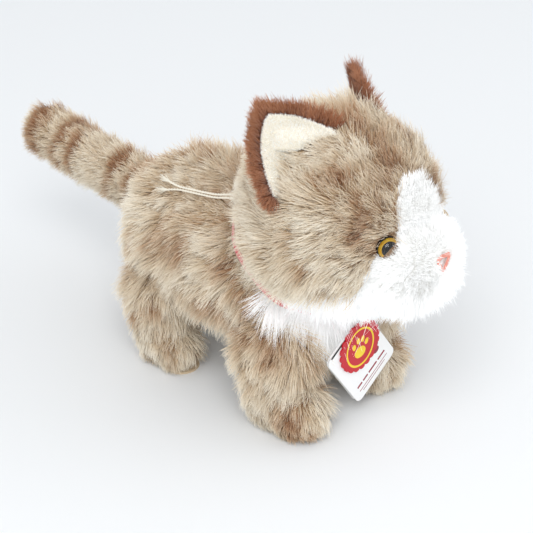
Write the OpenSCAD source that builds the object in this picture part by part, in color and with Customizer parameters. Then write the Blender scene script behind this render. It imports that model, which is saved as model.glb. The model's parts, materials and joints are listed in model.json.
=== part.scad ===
// Plush cat standing on four paws, with its tail straight out behind.
// It faces -Y, +X is its own left side, and +Z is up.
// The origin is on the ground, under the middle of its length.
// The solids are the sewn fabric shells and their filling; the pile stands outside them.

/* [Body] */
// Radius of the body capsule
body_r = 37; // [36:0.5:38]
// Height of the body's centre line
body_z = 67; // [66:0.5:68]
// Place of the chest end of the centre line
chest_y = -50; // [-52:0.5:-48]
// Place of the rump end of the centre line
rump_y = 12; // [10:0.5:14]
// Thickness of the fabric and its backing
skin_t = 2.5; // [2:0.1:3]

/* [Head] */
// Radius of the ball-shaped head
head_r = 47; // [46:0.5:47.5]
// Place of the head's centre along the body
head_y = -82; // [-83:0.5:-81]
// Height of the head's centre
head_z = 115; // [114:0.5:116]
// Turn of the face towards the cat's left
head_yaw = 6; // [0:1:10]
// Tilt of the crown towards the cat's left
head_roll = 5; // [0:1:8]
// Radius of each muzzle cheek
muzzle_r = 20; // [19:0.5:21]

/* [Ears] */
// Width of an ear along its seam
ear_w = 46; // [42:1:48]
// How far an ear's tip stands from the seam
ear_h = 29; // [26:1:32]
// Radius of the hollow curve across an ear
ear_curve_r = 40; // [36:1:48]

/* [Eyes] */
// Radius of the clear eye dome
eye_r = 5.2; // [4.5:0.1:6]
// Angle of each eye away from straight ahead
eye_angle = 26.5; // [24:0.5:29]
// Height of the eyes above the head's centre
eye_up = 1; // [0:0.5:3]

/* [Legs] */
// Distance of each leg from the middle plane
leg_x = 29; // [28:0.5:30]
// Radius of the rounded top of a leg
hip_r = 19; // [18:0.5:19.5]
// Height of the hip and shoulder centres
hip_z = 42; // [41:0.5:43]
// Radius of a leg below its rounded top
shank_r = 14.5; // [14:0.5:15]
// Radius of a paw
paw_r = 15; // [14.5:0.5:16]

/* [Tail] */
// Radius of the tail
tail_r = 9.5; // [8:0.5:10]
// Length from the root to the middle of the rounded tip
tail_l = 85; // [75:1:95]
// Upward slope of the tail
tail_slope = 5; // [0:1:10]

/* [Tags and twine] */
// Diameter of the scalloped seal
seal_d = 29; // [26:1:31]
// Width of the folded card
card_w = 33; // [30:1:35]
// Height of the folded card
card_h = 43; // [40:1:45]
// Diameter of one ply of the twine
twine_d = 1.2; // [1:0.1:1.4]

/* [Hidden] */
$fn = 96;

big = 400;
left = 1;
right = -1;
// clearance between the two sides of a moving seam, and between a skin and its filling
seam_gap = 0.4;
fill_gap = 0.3;

// head
head_at = [0, head_y, head_z];
neck_wad_t = 2.6;
neck_tilt = 34.3;
socket_r = head_r + 2 * seam_gap + neck_wad_t;
muzzle_x = 6;
muzzle_y = -40;
muzzle_drop = -12;

// legs: [hip y, shank y, paw front y, paw back y]
FRONT = [-68, -70, -84, -68];
HIND = [16, 13, 0, 14];
paw_z = 13;
sole_t = 1.2;
sole_r = 9.2;
leg_skin_t = 2;

// tail: its root on the rump
tail_root = [0, 50, 73];

// ears, placed on the head's own axes
ear_seam = [28.5, 5, 30.5];
ear_turn = [63, 37, 16];
ear_tip_x = -5;
ear_gap_r = head_r + 2;
ear_back_t = 2;
lining_t = 1.4;

// neck ribbon and twine, both rings round the neck's own line
ribbon_r = 36.5;
ribbon_t = 0.8;
ribbon_low = -37;
ribbon_w = 5.5;
twine_ring_r = 40;
twine_ring_at = -32;

// the two loose ends of the twine, from the knot back along the body
twine_route_a = [[-20, -33, 109], [-21, -27, 107.5], [-22, -20, 105.5], [-22.5, -12, 104],
                 [-23.5, -4, 103], [-24.5, 4, 101.8], [-26.4, 11, 99.8]];
twine_route_b = [[-18.8, -33, 110.8], [-20.2, -27, 109], [-21.3, -20, 106.9], [-21.9, -12, 105.3],
                 [-22.9, -4, 104.3], [-23.8, 4, 103.4], [-23.9, 11.6, 103.7]];
tuft_l = 6;
tuft_r = 2;

// tags
tag_pivot = [0, -97, 66];
tag_loop_r = 1.8;
tag_loop_d = 0.8;
tag_loop_h = 11;
tag_hole_r = 1.6;
seal_drop = 23;
seal_t = 0.8;
scallops = 20;
card_drop = 31.5;
card_x = 2.6;
card_turn = -35;
leaf_t = 0.4;
leaf_gap = 0.5;

// ---------- helpers ----------

// A round-ended rod along +Z, its end centres at 0 and len
module capsule(r, len) {
    rotate_extrude() {
        intersection() {
            union() {
                circle(r);
                translate([0, len]) circle(r);
                translate([-r, 0]) square([2 * r, len]);
            }
            translate([0, -big / 2]) square([big / 2, big]);
        }
    }
}

// A round-ended rod along +Y from y0 to y1
module rod_y(r, y0, y1) {
    translate([0, y0, 0]) rotate([-90, 0, 0]) capsule(r, y1 - y0);
}

// Everything on the cat's left (side = 1) or right (side = -1)
module half(side) {
    translate([side > 0 ? 0 : -big, -big / 2, -big / 2]) cube(big);
}

// Mirror a left-hand shape to the right side
module on_side(side) {
    if (side > 0) children();
    else mirror([1, 0, 0]) children();
}

// Put a shape from the head's own axes in its place
module on_head() {
    translate(head_at) rotate([0, head_roll, head_yaw]) children();
}

// ---------- body ----------

module body_solid(inset) {
    translate([0, 0, body_z]) rod_y(body_r - inset, chest_y, rump_y);
}

module body_pockets() {
    translate(head_at) sphere(socket_r);
    for (side = [left, right], leg = [FRONT, HIND])
        translate([side * leg_x, leg[0], hip_z]) rotate([0, 90, 0]) sphere(hip_r + seam_gap);
    translate(tail_root) sphere(tail_r + seam_gap);
}

module body_shell() {
    difference() {
        body_solid(0);
        body_solid(skin_t);
        body_pockets();
    }
}

belly_top = 42;
bib_back = -66;
bib_half_w = 33;
bib_top = 90;

module belly_zone() {
    translate([-big / 2, bib_back, -big + belly_top]) cube([big, big, big]);
}

module bib_zone() {
    translate([-bib_half_w, bib_back - big, bib_top - big]) cube([2 * bib_half_w, big, big]);
}

module body_side(side) {
    color("tan") difference() {
        intersection() {
            body_shell();
            half(side);
        }
        belly_zone();
        bib_zone();
    }
}

module belly_panel() {
    color("burlywood") intersection() {
        body_shell();
        belly_zone();
    }
}

module chest_bib() {
    color("white") intersection() {
        body_shell();
        bib_zone();
    }
}

module body_stuffing() {
    color("ivory") difference() {
        body_solid(skin_t + fill_gap);
        body_pockets();
    }
}

// ---------- neck ----------

// Along the neck's line: +Z runs from the body up to the head's centre
module on_neck() {
    translate(head_at) rotate([neck_tilt, 0, 0]) children();
}

module neck_stuffing() {
    wad_r = 19;
    color("ivory") difference() {
        intersection() {
            translate(head_at) sphere(head_r + seam_gap + neck_wad_t);
            on_neck() translate([0, 0, -socket_r - 1]) cylinder(r = wad_r, h = 20);
        }
        translate(head_at) sphere(head_r + seam_gap);
    }
}

module neck_ribbon() {
    color("crimson") on_neck() translate([0, 0, ribbon_low]) difference() {
        cylinder(r = ribbon_r + ribbon_t, h = ribbon_w);
        translate([0, 0, -1]) cylinder(r = ribbon_r, h = ribbon_w + 2);
    }
}

module twine_loop() {
    color("linen") on_neck() translate([0, 0, twine_ring_at])
        rotate_extrude() translate([twine_ring_r, 0]) circle(twine_d / 2, $fn = 24);
}

knot_turn = 118;
module twine_knot() {
    knot_r = 1.9;
    color("linen") difference() {
        on_neck() translate([0, 0, twine_ring_at]) rotate([0, 0, knot_turn])
            translate([twine_ring_r, 0, 0]) sphere(knot_r, $fn = 32);
        on_neck() translate([0, 0, twine_ring_at])
            rotate_extrude() translate([twine_ring_r, 0]) circle(twine_d / 2, $fn = 24);
    }
}

// A tube swept along a list of points
function unit(v) = v / norm(v);
function heading(p, i) = unit(p[min(i + 1, len(p) - 1)] - p[max(i - 1, 0)]);
function side_of(d) = unit(cross(d, [0, 0, 1]));

module tube(path, d, sides = 8) {
    rings = len(path);
    pts = [for (i = [0 : rings - 1])
        let (ahead = heading(path, i), a = side_of(ahead), b = cross(a, ahead))
        for (k = [0 : sides - 1])
            path[i] + d / 2 * (cos(k * 360 / sides) * a + sin(k * 360 / sides) * b)];
    walls = [for (i = [0 : rings - 2], k = [0 : sides - 1])
        let (n = (k + 1) % sides)
        [i * sides + k, (i + 1) * sides + k, (i + 1) * sides + n, i * sides + n]];
    first = [for (k = [0 : sides - 1]) k];
    last = [for (k = [sides - 1 : -1 : 0]) (rings - 1) * sides + k];
    polyhedron(pts, concat([first], walls, [last]));
}

// Points between the route's own points, on a smooth curve through them
function bend(p0, p1, p2, p3, t) =
    0.5 * (2 * p1 + t * (p2 - p0) + t * t * (2 * p0 - 5 * p1 + 4 * p2 - p3)
    + t * t * t * (3 * p1 - p0 - 3 * p2 + p3));
function smooth_route(p, steps = 3) = concat(
    [for (i = [0 : len(p) - 2], s = [0 : steps - 1])
        bend(p[max(i - 1, 0)], p[i], p[i + 1], p[min(i + 2, len(p) - 1)], s / steps)],
    [p[len(p) - 1]]);

module twine_end(route) {
    color("linen") tube(smooth_route(route), twine_d);
}

module twine_tuft(route) {
    last = route[len(route) - 1];
    run = unit(last - route[len(route) - 2]);
    color("linen") translate(last)
        rotate([0, acos(run[2]), atan2(run[1], run[0])])
            cylinder(r1 = twine_d / 2, r2 = tuft_r, h = tuft_l, $fn = 24);
}

// ---------- head ----------

module muzzle_solid(inset) {
    for (side = [left, right])
        translate([side * muzzle_x, muzzle_y, muzzle_drop]) sphere(muzzle_r - inset);
}

// Eye axis: +Z points straight out of the face through an eye's centre
module on_eye(side) {
    on_side(side) translate([0, 0, eye_up]) rotate([90, 0, eye_angle]) children();
}

eye_seat = head_r + 1;
eye_hole_r = eye_r + 0.3;
shank_hole_r = 2.3;
washer_r = 6.5;
washer_t = 1.2;
washer_top = head_r - skin_t - 0.9;

module eye_holes() {
    for (side = [left, right]) on_eye(side) {
        translate([0, 0, head_r - skin_t - 1]) cylinder(r = eye_hole_r, h = 20);
    }
}

module eye_hollows() {
    for (side = [left, right]) on_eye(side) {
        translate([0, 0, washer_top - washer_t - 4]) cylinder(r = washer_r + 0.3, h = 20);
    }
}

// White front of the face: a blaze that widens down into the muzzle
module blaze_outline() {
    polygon([[-8, blaze_top], [8, blaze_top], [11, 16], [13, 4], [22, -6], [27, -20], [26, -27],
             [-26, -27], [-27, -20], [-22, -6], [-13, 4], [-11, 16]]);
}

chin_half_w = 30;
chin_top = -27;
blaze_top = 27;
gusset_half_w = 15;

module front_zone() {
    rotate([90, 0, 0]) linear_extrude(big / 2) blaze_outline();
}

module chin_zone() {
    translate([-chin_half_w, -big, chin_top - big]) cube([2 * chin_half_w, big, big]);
}

module gusset_zone() {
    translate([-gusset_half_w, 0, 0]) cube([2 * gusset_half_w, big, big]);
    translate([-gusset_half_w, -big / 2, blaze_top]) cube([2 * gusset_half_w, big, big]);
}

module head_shell() {
    rotate([0, 90, 0]) difference() {
        sphere(head_r);
        sphere(head_r - skin_t);
    }
}

module head_side(side) {
    color("tan") on_head() difference() {
        intersection() {
            head_shell();
            half(side);
        }
        front_zone();
        chin_zone();
        gusset_zone();
        muzzle_solid(0);
        eye_holes();
    }
}

module crown_gusset() {
    color("burlywood") on_head() intersection() {
        head_shell();
        gusset_zone();
    }
}

module muzzle_panel() {
    color("white") on_head() difference() {
        union() {
            muzzle_solid(0);
            intersection() {
                sphere(head_r);
                front_zone();
            }
        }
        sphere(head_r - skin_t);
        muzzle_solid(skin_t);
        eye_holes();
    }
}

module chin_panel() {
    color("white") on_head() difference() {
        intersection() {
            head_shell();
            chin_zone();
        }
        muzzle_solid(0);
    }
}

module head_stuffing() {
    color("ivory") on_head() difference() {
        union() {
            sphere(head_r - skin_t - fill_gap);
            muzzle_solid(skin_t + fill_gap);
        }
        eye_hollows();
    }
}

// Embroidered nose: a rounded triangle outline that follows the muzzle
nose_z = -9;
nose_w = 12;
nose_h = 8.5;
stitch_t = 0.9;
module nose_outline() {
    r = 1.5;
    hull() {
        for (s = [-1, 1]) translate([s * (nose_w / 2 - r), nose_h / 2 - r]) circle(r, $fn = 24);
        translate([0, -nose_h / 2 + r]) circle(r, $fn = 24);
    }
}

module nose_embroidery() {
    rim = 2.4;
    color("salmon") on_head() intersection() {
        difference() {
            muzzle_solid(-stitch_t);
            muzzle_solid(-0.05);
        }
        translate([0, muzzle_y, nose_z]) rotate([90, 0, 0]) linear_extrude(40) difference() {
            nose_outline();
            translate([0, 0.4]) scale((nose_h - rim) / nose_h) nose_outline();
        }
    }
}

// ---------- eyes ----------

pupil_r = 3;
paint_t = 0.3;

module eye_dome(side) {
    color("gainsboro", 0.5) on_head() on_eye(side) translate([0, 0, eye_seat]) intersection() {
        sphere(eye_r);
        cylinder(r = big, h = big);
    }
}

module eye_pupil(side) {
    color("black") on_head() on_eye(side)
        translate([0, 0, eye_seat - paint_t]) cylinder(r = pupil_r, h = paint_t);
}

module eye_iris(side) {
    color("orange") on_head() on_eye(side)
        translate([0, 0, eye_seat - 2 * paint_t]) cylinder(r = eye_r - 0.2, h = paint_t);
}

module eye_back(side) {
    shank_r_eye = 2;
    back_top = eye_seat - 2 * paint_t;
    color("dimgray") on_head() on_eye(side) {
        translate([0, 0, head_r - skin_t]) cylinder(r = eye_r, h = back_top - head_r + skin_t);
        translate([0, 0, washer_top - washer_t - 3])
            cylinder(r = shank_r_eye, h = 3 + washer_t + 0.4);
    }
}

module eye_washer(side) {
    color("white") on_head() on_eye(side)
        translate([0, 0, washer_top - washer_t]) difference() {
            cylinder(r = washer_r, h = washer_t);
            translate([0, 0, -1]) cylinder(r = shank_hole_r, h = washer_t + 2);
        }
}

// ---------- ears ----------

// Pointed arch from two arcs; x runs from the inner to the outer end of the seam
module ear_outline(inset) {
    half_w = ear_w / 2;
    tip_in = half_w + ear_tip_x;
    tip_out = half_w - ear_tip_x;
    in_c = (ear_h * ear_h / tip_in - tip_in) / 2 + ear_tip_x;
    out_c = ear_tip_x - (ear_h * ear_h / tip_out - tip_out) / 2;
    intersection() {
        translate([in_c, 0]) circle(in_c + half_w - inset);
        translate([out_c, 0]) circle(half_w - out_c - inset);
        translate([-big / 2, inset - 4]) square(big);
    }
}

// A layer of the ear, curved round a line that stands in front of it
module ear_layer(outer_r, t, inset) {
    intersection() {
        translate([0, 0, -big / 4]) linear_extrude(big / 2) ear_outline(inset);
        translate([0, -20, ear_curve_r - 2]) rotate([-90, 0, 0]) difference() {
            cylinder(r = outer_r, h = 80);
            translate([0, 0, -1]) cylinder(r = outer_r - t, h = 82);
        }
        translate([-big / 2, -20, -10]) cube([big, 80, 30]);
    }
}

module ear_piece(side, outer_r, t, inset) {
    on_head() on_side(side) difference() {
        translate(ear_seam) rotate(ear_turn) ear_layer(outer_r, t, inset);
        sphere(ear_gap_r);
    }
}

module ear_back(side) {
    color("sienna") ear_piece(side, ear_curve_r, ear_back_t, 0);
}

module ear_lining(side) {
    color("cornsilk") ear_piece(side, ear_curve_r - ear_back_t - 0.2, lining_t, 3);
}

// ---------- legs ----------

module leg_solid(leg, inset) {
    translate([leg_x, leg[0], hip_z]) sphere(hip_r - inset);
    translate([leg_x, leg[1], paw_z]) cylinder(r = shank_r - inset, h = hip_z - paw_z);
    translate([leg_x, 0, paw_z]) rod_y(paw_r - inset, leg[2], leg[3]);
}

module above(z) {
    translate([-big / 2, -big / 2, z]) cube(big);
}

module leg_skin(leg, side) {
    color("tan") on_side(side) difference() {
        intersection() {
            leg_solid(leg, 0);
            above(sole_t);
        }
        intersection() {
            leg_solid(leg, leg_skin_t);
            above(sole_t + leg_skin_t);
        }
    }
}

module leg_stuffing(leg, side) {
    color("ivory") on_side(side) intersection() {
        leg_solid(leg, leg_skin_t + fill_gap);
        above(sole_t + leg_skin_t + fill_gap);
    }
}

module sole(leg, side) {
    color("burlywood") on_side(side) translate([leg_x, 0, 0]) linear_extrude(sole_t) {
        for (y = [leg[2], leg[3]]) translate([0, y]) circle(sole_r);
        translate([-sole_r, leg[2]]) square([2 * sole_r, leg[3] - leg[2]]);
    }
}

// ---------- tail ----------

module tail_solid(inset) {
    translate(tail_root) rotate([tail_slope, 0, 0]) rod_y(tail_r - inset, 0, tail_l);
}

module tail_skin() {
    color("tan") difference() {
        tail_solid(0);
        tail_solid(skin_t);
    }
}

module tail_stuffing() {
    color("ivory") tail_solid(skin_t + fill_gap);
}

// ---------- tags ----------

module tag_hole() {
    translate([0, 5, tag_pivot[2] - tag_loop_h]) rotate([90, 0, 0]) cylinder(r = tag_hole_r, h = 10);
}

module seal_tag() {
    scallop_r = seal_d / 2 * sin(180 / scallops) * 1.05;
    color("red") translate([tag_pivot[0], tag_pivot[1], 0]) difference() {
        translate([0, -0.5, tag_pivot[2] - seal_drop]) rotate([90, 0, 0])
            linear_extrude(seal_t) {
                circle(seal_d / 2 - scallop_r * 0.7);
                for (k = [0 : scallops - 1]) rotate(k * 360 / scallops)
                    translate([seal_d / 2 - scallop_r, 0]) circle(scallop_r, $fn = 24);
                translate([0, seal_d / 2 - 3]) circle(4.4);
            }
        tag_hole();
    }
}

module card_tag() {
    fold_w = 1;
    depth = 2 * leaf_t + leaf_gap;
    color("white") translate([tag_pivot[0], tag_pivot[1], 0]) difference() {
        translate([card_x, depth - 0.3, tag_pivot[2] - card_drop]) rotate([90, card_turn, 0])
            difference() {
                translate([-card_w / 2, -card_h / 2, 0]) cube([card_w, card_h, depth]);
                translate([-card_w / 2 - 1, -card_h / 2 - 1, leaf_t])
                    cube([card_w + 2, card_h + 1 - fold_w, leaf_gap]);
            }
        tag_hole();
    }
}

module tag_loop() {
    top = tag_pivot[2];
    foot = tag_pivot[2] - tag_loop_h - 0.6 + tag_loop_r;
    color("linen") translate([0, tag_pivot[1], 0]) rotate([0, 0, 90]) {
        translate([0, 0, top]) rotate([90, 0, 0])
            rotate_extrude(angle = 180) translate([tag_loop_r, 0]) circle(tag_loop_d / 2, $fn = 24);
        translate([0, 0, foot]) rotate([-90, 0, 0])
            rotate_extrude(angle = 180) translate([tag_loop_r, 0]) circle(tag_loop_d / 2, $fn = 24);
        for (s = [-1, 1]) translate([s * tag_loop_r, 0, foot])
            cylinder(r = tag_loop_d / 2, h = top - foot, $fn = 24);
    }
}

// ---------- every node ----------

body_side(left);  // body_side_left
body_side(right);  // body_side_right
belly_panel();
chest_bib();
body_stuffing();
neck_ribbon();
twine_loop();
twine_knot();
twine_end(twine_route_a);  // twine_end_a
twine_end(twine_route_b);  // twine_end_b
twine_tuft(twine_route_a);  // twine_tuft_a
twine_tuft(twine_route_b);  // twine_tuft_b
neck_stuffing();
head_side(left);  // head_side_left
head_side(right);  // head_side_right
crown_gusset();
muzzle_panel();
chin_panel();
head_stuffing();
nose_embroidery();
eye_dome(left);  // eye_dome_left
eye_pupil(left);  // eye_pupil_left
eye_iris(left);  // eye_iris_left
eye_back(left);  // eye_back_left
eye_washer(left);  // eye_washer_left
eye_dome(right);  // eye_dome_right
eye_pupil(right);  // eye_pupil_right
eye_iris(right);  // eye_iris_right
eye_back(right);  // eye_back_right
eye_washer(right);  // eye_washer_right
ear_back(left);  // ear_back_left
ear_lining(left);  // ear_lining_left
ear_back(right);  // ear_back_right
ear_lining(right);  // ear_lining_right
leg_skin(FRONT, left);  // front_leg_skin_left
leg_stuffing(FRONT, left);  // front_leg_stuffing_left
sole(FRONT, left);  // front_sole_left
leg_skin(FRONT, right);  // front_leg_skin_right
leg_stuffing(FRONT, right);  // front_leg_stuffing_right
sole(FRONT, right);  // front_sole_right
leg_skin(HIND, left);  // hind_leg_skin_left
leg_stuffing(HIND, left);  // hind_leg_stuffing_left
sole(HIND, left);  // hind_sole_left
leg_skin(HIND, right);  // hind_leg_skin_right
leg_stuffing(HIND, right);  // hind_leg_stuffing_right
sole(HIND, right);  // hind_sole_right
tail_skin();
tail_stuffing();
seal_tag();
card_tag();
tag_loop();
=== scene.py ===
# %% [markdown]
# # A plush kitten with a long tabby pile
#
# The toy is a set of sewn fabric shells, stuffed tight and covered in pile. Its shape is
# simple and its surface is everything: tens of thousands of fibres that lie in one
# direction, clump into tufts, and change colour from root to tip. The scene is built in
# that order, with the plain skins first, then the pile that grows on them, and last the
# hard and printed pieces: eyes, ribbon, twine and tags.

# %% Load the frame
import json
import math
import bmesh
import bpy
from mathutils import Euler, Matrix, Vector, noise


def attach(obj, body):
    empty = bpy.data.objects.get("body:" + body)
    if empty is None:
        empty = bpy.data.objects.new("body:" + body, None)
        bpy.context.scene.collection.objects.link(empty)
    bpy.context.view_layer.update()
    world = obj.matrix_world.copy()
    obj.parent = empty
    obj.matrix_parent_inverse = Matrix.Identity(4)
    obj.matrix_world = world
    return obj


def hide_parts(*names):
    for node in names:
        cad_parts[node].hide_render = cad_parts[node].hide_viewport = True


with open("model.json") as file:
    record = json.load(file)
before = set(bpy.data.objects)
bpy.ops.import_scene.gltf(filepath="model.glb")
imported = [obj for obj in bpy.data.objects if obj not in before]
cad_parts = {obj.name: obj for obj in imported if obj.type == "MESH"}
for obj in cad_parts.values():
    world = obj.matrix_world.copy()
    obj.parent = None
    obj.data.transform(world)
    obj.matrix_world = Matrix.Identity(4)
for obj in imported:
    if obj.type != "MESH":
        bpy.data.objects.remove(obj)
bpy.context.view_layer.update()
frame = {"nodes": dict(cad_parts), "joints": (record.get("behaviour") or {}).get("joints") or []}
MM = 0.001

# %% [markdown]
# ## Camera and cords' places
#
# The camera comes first, because everything else is judged through it. It is a long lens
# from in front of the kitten's right shoulder, looking down by about thirty degrees. The
# lens is worked out from how many millimetres one picture side should cover at the target.

# %% Camera
CAMERA_AZIMUTH = math.radians(-46)
CAMERA_HEIGHT = math.radians(31)
CAMERA_DISTANCE = 0.9
CAMERA_TARGET = Vector((0, -0.034, 0.062))
SENSOR = 36.0
VIEW_SIDE = 0.2713


def make_camera():
    data = bpy.data.cameras.new("camera")
    data.sensor_width = SENSOR
    data.lens = SENSOR * CAMERA_DISTANCE / VIEW_SIDE
    cam = bpy.data.objects.new("camera", data)
    bpy.context.scene.collection.objects.link(cam)
    flat = math.cos(CAMERA_HEIGHT)
    back = Vector((math.sin(CAMERA_AZIMUTH) * flat, -math.cos(CAMERA_AZIMUTH) * flat,
                   math.sin(CAMERA_HEIGHT)))
    cam.location = CAMERA_TARGET + back * CAMERA_DISTANCE
    cam.rotation_mode = "QUATERNION"
    cam.rotation_quaternion = (-back).to_track_quat("-Z", "Y")
    bpy.context.scene.camera = cam
    print("camera lens", round(data.lens, 1), "mm")


make_camera()

# %% [markdown]
# ## Places that the frame already knows
#
# A joint's position is the middle of a hip, of the head or of the tail's root, so the
# script reads the places from the joints instead of typing them again. The head is turned
# and tilted a little, and everything on it is made on its own axes and then moved there.

# %% Places and sizes
joint_at = {j["name"]: Vector(j["pos_m"]) for j in frame["joints"]}
HEAD_AT = joint_at["neck_turn"]
HEAD_R = 0.047
HEAD_TURN = Euler((0, math.radians(5), math.radians(6))).to_matrix().to_4x4()
ON_HEAD = Matrix.Translation(HEAD_AT) @ HEAD_TURN
BODY_R = 0.037
CHEST = Vector((0, -0.050, 0.067))
RUMP = Vector((0, 0.012, 0.067))
TAIL_ROOT = joint_at["tail_lift"]
TAIL_R = 0.0095
TAIL_SLOPE = math.radians(5)
TAIL_L = 0.085
HIP_R = 0.019
SHANK_R = 0.0145
PAW_R = 0.015
PAW_Z = 0.013
SOLE_TOP = 0.0012
LEG_X = 0.029
# for each pair: the shank, the front of the paw and the back of the paw, along the body
LEGS = {"front": (-0.070, -0.084, -0.068), "hind": (0.014, 0.004, 0.015)}
# how slim each pair's cloth is under its pile
SLIM = {"front": 0.92, "hind": 0.80}
SIDES = {"left": 1, "right": -1}
MUZZLE_R = 0.020
CHEEKS = [Vector((s * 0.006, -0.040, -0.012)) for s in (1, -1)]
EYE_ANGLE = math.radians(26.5)
EYE_R = 0.0052
EYE_UP = 0.001
tail_way = Vector((0, math.cos(TAIL_SLOPE), math.sin(TAIL_SLOPE)))


def millimetres(*points):
    return [Vector(p) * MM for p in points]


ROUTES = {
    "a": millimetres((-20, -33, 109), (-21, -27, 107.5), (-22, -20, 105.5), (-22.5, -12, 104),
                     (-23.5, -4, 103), (-24.5, 4, 101.8), (-26.4, 11, 99.8)),
    "b": millimetres((-18.8, -33, 110.8), (-20.2, -27, 109), (-21.3, -20, 106.9),
                     (-21.9, -12, 105.3), (-22.9, -4, 104.3), (-23.8, 4, 103.4),
                     (-23.9, 11.6, 103.7)),
}

# %% [markdown]
# ## Helpers for meshes and materials
#
# A finished piece is a plain mesh object that sits at the origin, rides on its body and
# takes one of the materials that the script makes. These few helpers do that the same way
# for every piece.


# %% Mesh helpers
def new_object(name, mesh):
    ob = bpy.data.objects.new(name, mesh)
    bpy.context.scene.collection.objects.link(ob)
    return ob


def from_bmesh(name, bm, smooth=True):
    mesh = bpy.data.meshes.new(name)
    bm.to_mesh(mesh)
    bm.free()
    for face in mesh.polygons:
        face.use_smooth = smooth
    return new_object(name, mesh)


def applied(ob):
    """The object's mesh with its modifiers worked in, as a plain mesh."""
    depsgraph = bpy.context.evaluated_depsgraph_get()
    mesh = bpy.data.meshes.new_from_object(ob.evaluated_get(depsgraph), depsgraph=depsgraph)
    old = ob.data
    ob.modifiers.clear()
    ob.data = mesh
    mesh.name = ob.name
    if old.users == 0:
        bpy.data.meshes.remove(old)
    return ob


def finish_piece(ob, body, material=None, replaces=()):
    if material is not None:
        ob.data.materials.clear()
        ob.data.materials.append(material)
    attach(ob, body)
    if replaces:
        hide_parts(*replaces)
    return ob


# %% Node helpers
class Graph:
    """A short way to add nodes and links to a tree."""

    def __init__(self, tree):
        self.tree = tree

    def feed(self, socket, value):
        if isinstance(value, bpy.types.NodeSocket):
            self.tree.links.new(value, socket)
        else:
            socket.default_value = value

    def node(self, kind, inputs=None, **settings):
        made = self.tree.nodes.new(kind)
        for key, value in settings.items():
            setattr(made, key, value)
        for key, value in (inputs or {}).items():
            self.feed(made.inputs[key], value)
        return made

    def maths(self, operation, *values):
        made = self.tree.nodes.new("ShaderNodeMath")
        made.operation = operation
        for socket, value in zip(made.inputs, values):
            self.feed(socket, value)
        return made.outputs[0]

    def vector(self, operation, *values):
        made = self.tree.nodes.new("ShaderNodeVectorMath")
        made.operation = operation
        for socket, value in zip(made.inputs, values):
            self.feed(socket, value)
        return made.outputs["Value" if operation in {"DOT_PRODUCT", "LENGTH"} else "Vector"]

    def scaled(self, vector, factor):
        made = self.tree.nodes.new("ShaderNodeVectorMath")
        made.operation = "SCALE"
        self.feed(made.inputs["Vector"], vector)
        self.feed(made.inputs["Scale"], factor)
        return made.outputs["Vector"]

    def summed(self, *vectors):
        total = vectors[0]
        for extra in vectors[1:]:
            total = self.vector("ADD", total, extra)
        return total


def new_material(name):
    material = bpy.data.materials.new(name)
    material.use_nodes = True
    graph = Graph(material.node_tree)
    shader = material.node_tree.nodes["Principled BSDF"]
    return material, graph, shader


def ramp(graph, factor, stops):
    """A colour ramp from (place, colour) pairs."""
    made = graph.node("ShaderNodeValToRGB", {"Fac": factor})
    elements = made.color_ramp.elements
    while len(elements) < len(stops):
        elements.new(0.5)
    for element, (place, colour) in zip(elements, stops):
        element.position = place
        element.color = (*colour, 1)
    return made.outputs["Color"]


def rgb(red, green, blue):
    """A linear colour from the 0 to 255 values that a colour picker shows."""
    def channel(value):
        value /= 255
        return value / 12.92 if value <= 0.04045 else ((value + 0.055) / 1.055) ** 2.4
    return (channel(red), channel(green), channel(blue))


def plain(name, colour, roughness=0.5, sheen=0.0):
    material, _, shader = new_material(name)
    shader.inputs["Base Color"].default_value = (*colour, 1)
    shader.inputs["Roughness"].default_value = roughness
    shader.inputs["Sheen Weight"].default_value = sheen
    return material


def paint(ob, material):
    ob.data.materials.clear()
    ob.data.materials.append(material)


# %% [markdown]
# ## The fabric skins
#
# Each body part is a stuffed shell. Its skin is built from the same few balls and rods as
# the solid that it covers, joined by a voxel remesh and softened, so that the seams between
# leg, shank and paw become the soft hollows that filling makes. The pile hides most of the
# skin, and what shows between the fibres is the darker root colour.

# %% Moulded skins
VOXEL = 0.0016


def ball(bm, at, radius):
    bmesh.ops.create_uvsphere(bm, u_segments=40, v_segments=24, radius=radius,
                              matrix=Matrix.Translation(at))


def rod(bm, start, end, radius, end_radius=None):
    way = end - start
    turn = way.to_track_quat("Z", "Y").to_matrix().to_4x4()
    bmesh.ops.create_cone(bm, cap_ends=True, segments=40, radius1=radius,
                          radius2=end_radius or radius, depth=way.length,
                          matrix=Matrix.Translation((start + end) / 2) @ turn)


def moulded(name, balls, rods, soften=10, floor=None):
    """One closed skin round a few balls and rods."""
    bm = bmesh.new()
    for at, radius in balls:
        ball(bm, at, radius)
    for way in rods:
        rod(bm, *way)
    skin = from_bmesh(name, bm)
    remesh = skin.modifiers.new("remesh", "REMESH")
    remesh.mode = "VOXEL"
    remesh.voxel_size = VOXEL
    smooth = skin.modifiers.new("soften", "SMOOTH")
    smooth.factor = 0.5
    smooth.iterations = soften
    applied(skin)
    if floor is not None:
        for vertex in skin.data.vertices:
            vertex.co.z = max(vertex.co.z, floor)
    skin.data.shade_smooth()
    print(name, len(skin.data.polygons), "faces")
    return skin


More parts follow.
